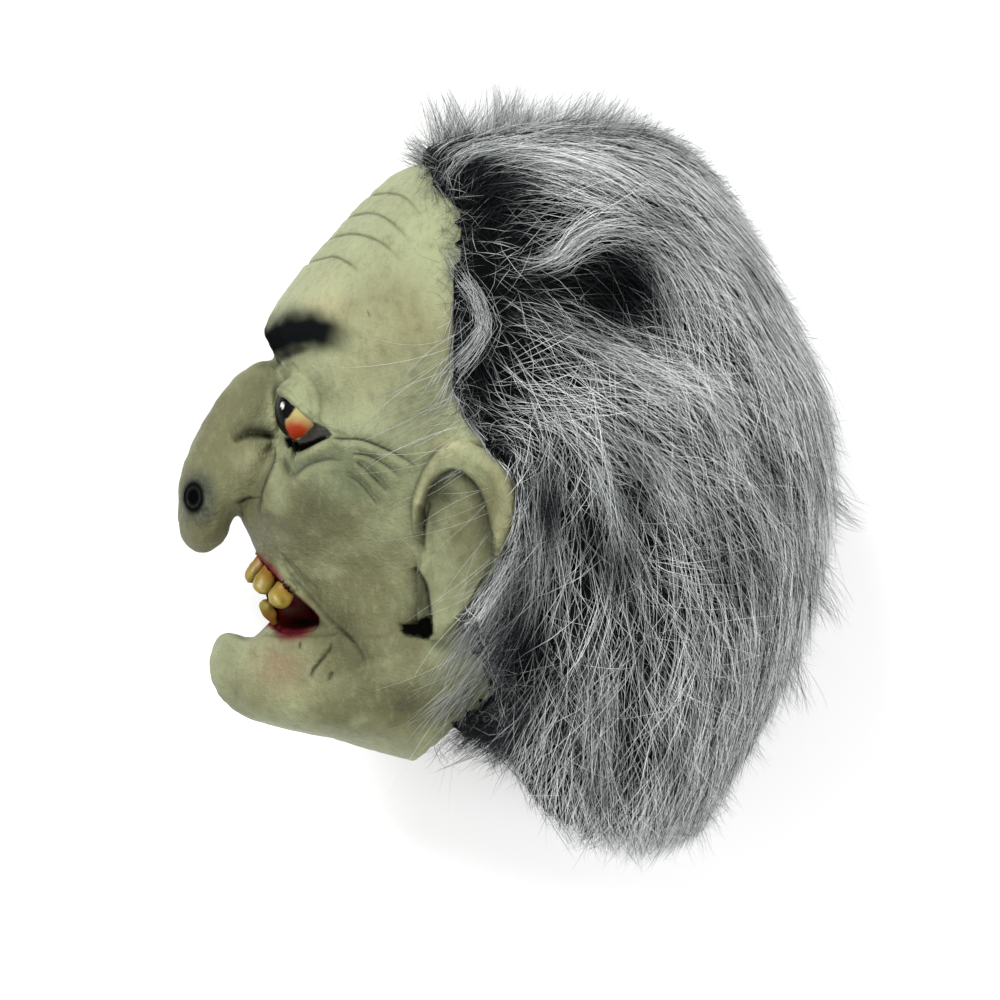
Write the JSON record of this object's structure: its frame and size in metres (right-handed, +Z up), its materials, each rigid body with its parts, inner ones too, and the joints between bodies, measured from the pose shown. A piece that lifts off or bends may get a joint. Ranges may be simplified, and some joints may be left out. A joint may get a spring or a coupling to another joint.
{
  "type": "ghoul mask",
  "caption": "Over-the-head ghoul mask of painted cast latex with a drooping nose, open mouth and long ears, under a wig of long grey faux fur, lying on its right side.",
  "frame": {"origin": "under the middle of the mask, on the surface it lies on", "axes": "+X from the face to the back of the head, +Y from the neck to the crown, +Z up, to the left side of the face"},
  "size_m": [0.3034, 0.335, 0.2217],
  "materials": {
    "painted_latex": "satin, airbrushed olive grey over pale latex",
    "faux_fur": "long pile, black at the roots and silver grey at the tips",
    "lacquered_eye": "glossy lacquer over paint on the latex",
    "painted_tooth": "satin paint on the latex"
  },
  "bodies": {
    "root": {"latex_mask": "painted_latex", "fur_hair": "faux_fur"}
  },
  "joints": []
}
